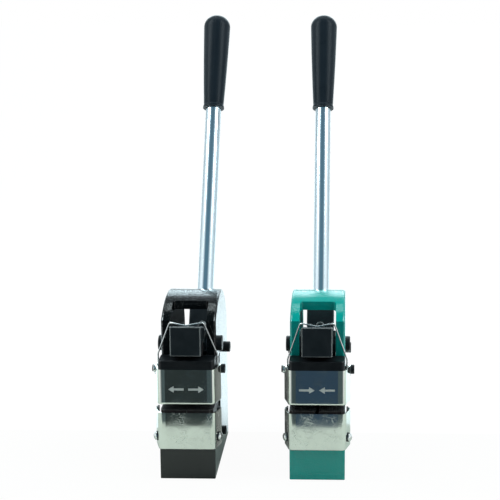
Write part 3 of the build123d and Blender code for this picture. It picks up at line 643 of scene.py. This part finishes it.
class BENCHTOOLS_OT_slides(bpy.types.Operator):
    """Blacken the rams, the holders, the jaws and the lever's pad."""

    bl_idname = "bench_tools.slides"
    bl_label = "Rams, holders and jaws"

    def execute(self, context):
        settings = context.scene.bench_finishes
        dress_both(["ram", "lower_holder"],
                   worn_black("oiled_black", tuple(settings.oiled_black), settings,
                              wear_radius=0.0004, roughness=0.34, metal=0.1, wear_scale=0.12))
        jaws = [f"{level}_jaw_{side}" for level in ("upper", "lower") for side in ("left", "right")]
        dress_both(jaws + ["nose_pad"],
                   worn_black("hardened_jaw", JAW_BLACK, settings,
                              wear_radius=0.0003, roughness=0.4, metal=0.3, wear_scale=0.4))
        return {"FINISHED"}


class BENCHTOOLS_OT_fasteners(bpy.types.Operator):
    """Finish the pins, bolts, nuts, washers, screws and springs."""

    bl_idname = "bench_tools.fasteners"
    bl_label = "Pins, bolts and springs"

    def execute(self, context):
        settings = context.scene.bench_finishes
        dress_both(["pivot_pin", "pivot_cap", "stop_bolt", "stop_nut", "holder_bolt", "holder_nut",
                    "upper_pin", "cover_washers"],
                   worn_black("fastener_black", tuple(settings.oiled_black), settings,
                              wear_radius=0.0003, roughness=0.34, wear_scale=0.1))
        dress_both(["cover_screws", "upper_pin_clip"],
                   plain_steel("zinc_screw", ZINC, roughness=0.16, line_scale=900.0))
        dress_both(["set_screw"],
                   plain_steel("phosphate_screw", PHOSPHATE, roughness=0.3, line_scale=900.0))
        dress_both(["upper_jaw_spring", "lower_jaw_spring"],
                   plain_steel("coil_spring", COIL_STEEL, roughness=0.22, line_scale=600.0,
                               stretch=(6.0, 1.0, 1.0)))
        return {"FINISHED"}


class BENCHTOOLS_OT_handles(bpy.types.Operator):
    """Plate the handle rods and mould the grips."""

    bl_idname = "bench_tools.handles"
    bl_label = "Rods and grips"

    def execute(self, context):
        settings = context.scene.bench_finishes
        dress_both(["handle_rod"], rod_plate(settings))
        dress_both(["grip"], grip_plastic(settings))
        return {"FINISHED"}


class BENCHTOOLS_OT_bail_wires(bpy.types.Operator):
    """Bend the spring wires that hang each ram from its lever's nose."""

    bl_idname = "bench_tools.bail_wires"
    bl_label = "Bail wires"

    def execute(self, context):
        sizes = context.scene.bench_wire
        steel = plain_steel("spring_wire", WIRE_STEEL, roughness=0.18, line_scale=500.0,
                            stretch=(1.0, 1.0, 8.0))
        for kind in KINDS:
            wire = self.bend_wire(kind, sizes)
            wire.data.materials.append(steel)
            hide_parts(f"{kind}_bail_wire")
            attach(wire, f"{kind}_ram_body")
        return {"FINISHED"}

    def bend_wire(self, kind, sizes):
        """One wire: an eye round the ram's pin at each end, and a bow over the nose."""
        low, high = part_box(f"{kind}_bail_wire")
        middle = (low.x + high.x) / 2
        leg_x = high.x - middle - sizes.radius
        shoulder_z = high.z - sizes.radius
        eye = PIN_RADIUS + PIN_CLEARANCE + sizes.radius
        turn = []
        for step in range(EYE_STEPS + 1):
            left = 1 - step / EYE_STEPS
            angle = -2 * math.pi * EYE_TURNS * left
            turn.append(Vector((leg_x - EYE_SHIFT * left, PIN_Y - eye * math.cos(angle),
                                PIN_Z + eye * math.sin(angle))))
        corners = [Vector((leg_x, PIN_Y - eye, PIN_Z)), Vector((leg_x, PIN_Y - eye, KNEE_Z[kind])),
                   Vector((SHOULDER_X, SHOULDER_Y, shoulder_z)),
                   Vector((0.0, REST_Y, shoulder_z - REST_DROP))]
        half = turn + rounded_route(corners, sizes.bend, sizes.rounding)[1:]
        mirrored = [Vector((-p.x, p.y, p.z)) for p in reversed(half[:-1])]
        curve = bpy.data.curves.new(f"{kind}_spring_bail", "CURVE")
        curve.dimensions = "3D"
        curve.bevel_depth = sizes.radius
        curve.bevel_resolution = 5
        curve.use_fill_caps = True
        points = half + mirrored
        spline = curve.splines.new("POLY")
        spline.points.add(len(points) - 1)
        for point, place in zip(spline.points, points):
            point.co = (place.x + middle, place.y, place.z, 1.0)
        spline.use_smooth = True
        wire = bpy.data.objects.new(f"{kind}_spring_bail", curve)
        bpy.context.scene.collection.objects.link(wire)
        return wire


# ---------------------------------------------------------------- stage
def sheet_object(name, rows):
    """A sheet through rows of points, each row from left to right."""
    form = bmesh.new()
    grid = [[form.verts.new(p) for p in row] for row in rows]
    for low, high in zip(grid, grid[1:]):
        for a, b, c, d in zip(low, low[1:], high[1:], high):
            form.faces.new((a, b, c, d))
    mesh = bpy.data.meshes.new(name)
    form.to_mesh(mesh)
    form.free()
    made = bpy.data.objects.new(name, mesh)
    bpy.context.scene.collection.objects.link(made)
    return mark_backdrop(made) or made


def stage_material(name):
    """An empty material for the stage, and its tree."""
    material = bpy.data.materials.new(name)
    material.use_nodes = True
    material.node_tree.nodes.clear()
    return material, material.node_tree


def matte_board(name, colour, white_share):
    """A pale matte board that is lifted towards white where it is looked at directly."""
    material, tree = stage_material(name)
    matte = put(tree, "ShaderNodeBsdfDiffuse", Color=colour)
    glow = put(tree, "ShaderNodeEmission", Color=WHITE, Strength=1.0)
    seen = put(tree, "ShaderNodeLightPath").outputs["Is Camera Ray"]
    mix = put(tree, "ShaderNodeMixShader")
    feed(tree, calc(tree, "MULTIPLY", seen, white_share), mix.inputs[0])
    feed(tree, matte.outputs[0], mix.inputs[1])
    feed(tree, glow.outputs[0], mix.inputs[2])
    put(tree, "ShaderNodeOutputMaterial", Surface=mix.outputs[0])
    return material


def painted_reflection_streaks():
    """A card that glows in upright streaks: painted reflection streaks for the plated flanges, not
    a lamp.
    """
    material, tree = stage_material("painted_reflection_streaks")
    aimed = put(tree, "ShaderNodeMapping", Vector=object_place(tree), Scale=(1.0, 1.0, 0.03))
    lines = noise(tree, aimed.outputs[0], scale=60.0, detail=3.0)
    streaks = spread(tree, lines, *CARD_BREAK, *PAINTED_REFLECTION_GLOW)
    glow = put(tree, "ShaderNodeEmission", Color=PAINTED_REFLECTION_TINT, Strength=streaks)
    put(tree, "ShaderNodeOutputMaterial", Surface=glow.outputs[0])
    return material


def softbox(name, place, aim, size, power, tint):
    """A rectangular area light that faces a point."""
    lamp = bpy.data.lights.new(name, "AREA")
    lamp.shape = "RECTANGLE"
    lamp.size, lamp.size_y = size
    lamp.energy = power
    lamp.color = tint
    made = bpy.data.objects.new(name, lamp)
    made.location = place
    made.rotation_euler = (Vector(aim) - Vector(place)).to_track_quat("-Z", "Y").to_euler()
    bpy.context.scene.collection.objects.link(made)


def studio_world(settings):
    """White behind and beside the tools; blue-grey where the camera stands, darker below it."""
    world = bpy.data.worlds.new("studio")
    world.use_nodes = True
    tree = world.node_tree
    tree.nodes.clear()
    axes = put(tree, "ShaderNodeSeparateXYZ",
               Vector=put(tree, "ShaderNodeTexCoord").outputs["Generated"]).outputs
    low = blend_colour(tree, spread(tree, off_place(tree, axes["X"], BLUE_PLACE), *BLUE_FADE),
                       LOW_BLUE, LOW_DARK)
    low = blend_colour(tree, spread(tree, off_place(tree, axes["X"], DARK_PLACE), *DARK_FADE),
                       low, LOW_GREY)
    room = blend_colour(tree, spread(tree, axes["Z"], *RISE_FADE), low, HIGH_BLUE)
    flank = tuple(settings.sides * tint for tint in FLANK_TINT)
    beside = spread(tree, calc(tree, "ABSOLUTE", axes["X"]), *BESIDE_FADE)
    room = blend_colour(tree, beside, room, flank)
    wall = tuple(settings.backdrop * tint for tint in WALL_TINT)
    room = blend_colour(tree, spread(tree, axes["Y"], *BEHIND_FADE), room, wall)
    room = blend_colour(tree, spread(tree, axes["Z"], *ABOVE_FADE), room, CEILING)
    seen = put(tree, "ShaderNodeLightPath").outputs["Is Camera Ray"]
    glow = put(tree, "ShaderNodeBackground", Color=blend_colour(tree, seen, room, WHITE),
               Strength=1.0)
    put(tree, "ShaderNodeOutputWorld", Surface=glow.outputs[0])
    return world


class BENCHTOOLS_OT_stage(bpy.types.Operator):
    """Set out the pale board, the soft lights and the camera."""

    bl_idname = "bench_tools.stage"
    bl_label = "Stage"

    def execute(self, context):
        settings = context.scene.bench_stage
        across = (-STAGE_HALF, 0.0, STAGE_HALF)
        board = sheet_object("bench_board", [[(x, y, 0.0) for x in across] for y in BOARD_EDGES])
        board.data.materials.append(
            matte_board("pale_board", tuple(settings.bench_colour), BOARD_WHITE))
        sweep = sheet_object("white_sweep", [[(x, y, z) for x in across] for y, z in SWEEP_OUTLINE])
        sweep.data.materials.append(matte_board("white_paper", PAPER, PAPER_WHITE))
        for side in (-1, 1):
            softbox("overhead_softbox", place=(side * 0.85, -0.1, 1.1), aim=(0.0, 0.0, 0.12),
                    size=(0.5, 0.8), power=settings.overhead, tint=(0.83, 0.96, 1.0))
        self.place_painted_reflection()
        softbox("back_softbox", place=(0.0, 1.45, 0.9), aim=(0.0, 0.0, 0.15),
                size=(1.3, 0.75), power=settings.behind, tint=(0.74, 0.93, 1.0))
        softbox("sweep_light", place=(0.0, 0.5, 1.6), aim=(0.0, 1.1, 0.0),
                size=(1.6, 0.6), power=settings.sweep, tint=(0.86, 0.98, 1.0))
        context.scene.world = studio_world(settings)
        context.scene.view_settings.view_transform = "Standard"
        self.place_camera(context, settings)
        return {"FINISHED"}

    def place_painted_reflection(self):
        """A glowing card between the tools that only glossy rays see: it paints a streaked
        reflection into their plated flanges.
        """
        rows = [[(0.0, y, z) for y in CARD_DEPTH] for z in (0.0, CARD_HEIGHT)]
        card = sheet_object("painted_reflection_card", rows)
        card.data.materials.append(painted_reflection_streaks())
        # Hidden from all but glossy rays: the card lights no diffuse surface, casts no shadow and
        # shows only as a painted reflection
        for rays in ("camera", "diffuse", "shadow", "transmission"):
            setattr(card, f"visible_{rays}", False)

    def place_camera(self, context, settings):
        """The scene's camera, set up as the settings say."""
        lens = bpy.data.cameras.new("camera")
        lens.sensor_width = 36.0
        lens.lens = settings.lens
        lens.shift_x, lens.shift_y = settings.camera_shift
        lens.clip_end = 20.0
        camera = bpy.data.objects.new("camera", lens)
        camera.location = settings.camera_place
        camera.rotation_euler = settings.camera_turn
        context.scene.collection.objects.link(camera)
        context.scene.camera = camera


OPERATORS = (BENCHTOOLS_OT_effects, BENCHTOOLS_OT_castings, BENCHTOOLS_OT_covers,
             BENCHTOOLS_OT_levers, BENCHTOOLS_OT_slides, BENCHTOOLS_OT_fasteners,
             BENCHTOOLS_OT_handles, BENCHTOOLS_OT_bail_wires, BENCHTOOLS_OT_stage)


class BENCHTOOLS_PT_panel(bpy.types.Panel):
    """Lists the settings and the steps in the order they run."""

    bl_idname = "BENCHTOOLS_PT_panel"
    bl_label = "Bench tools"
    bl_space_type = "VIEW_3D"
    bl_region_type = "UI"
    bl_category = "Bench tools"

    def draw(self, context):
        scene = context.scene
        for group in (scene.bench_finishes, scene.bench_wire, scene.bench_stage):
            column = self.layout.column(align=True)
            for name in group.__annotations__:
                column.prop(group, name)
        for operator in OPERATORS:
            self.layout.operator(operator.bl_idname)


CLASSES = (FinishSettings, WireSettings, StageSettings, *OPERATORS, BENCHTOOLS_PT_panel)


def register():
    for each in CLASSES:
        bpy.utils.register_class(each)
    bpy.types.Scene.bench_finishes = PointerProperty(type=FinishSettings)
    bpy.types.Scene.bench_wire = PointerProperty(type=WireSettings)
    bpy.types.Scene.bench_stage = PointerProperty(type=StageSettings)


def unregister():
    del bpy.types.Scene.bench_stage
    del bpy.types.Scene.bench_wire
    del bpy.types.Scene.bench_finishes
    for each in reversed(CLASSES):
        bpy.utils.unregister_class(each)


def main():
    register()
    for step in ("effects", "castings", "covers", "levers", "slides", "fasteners", "handles",
                 "bail_wires", "stage"):
        getattr(bpy.ops.bench_tools, step)()


if __name__ == "__main__":
    main()
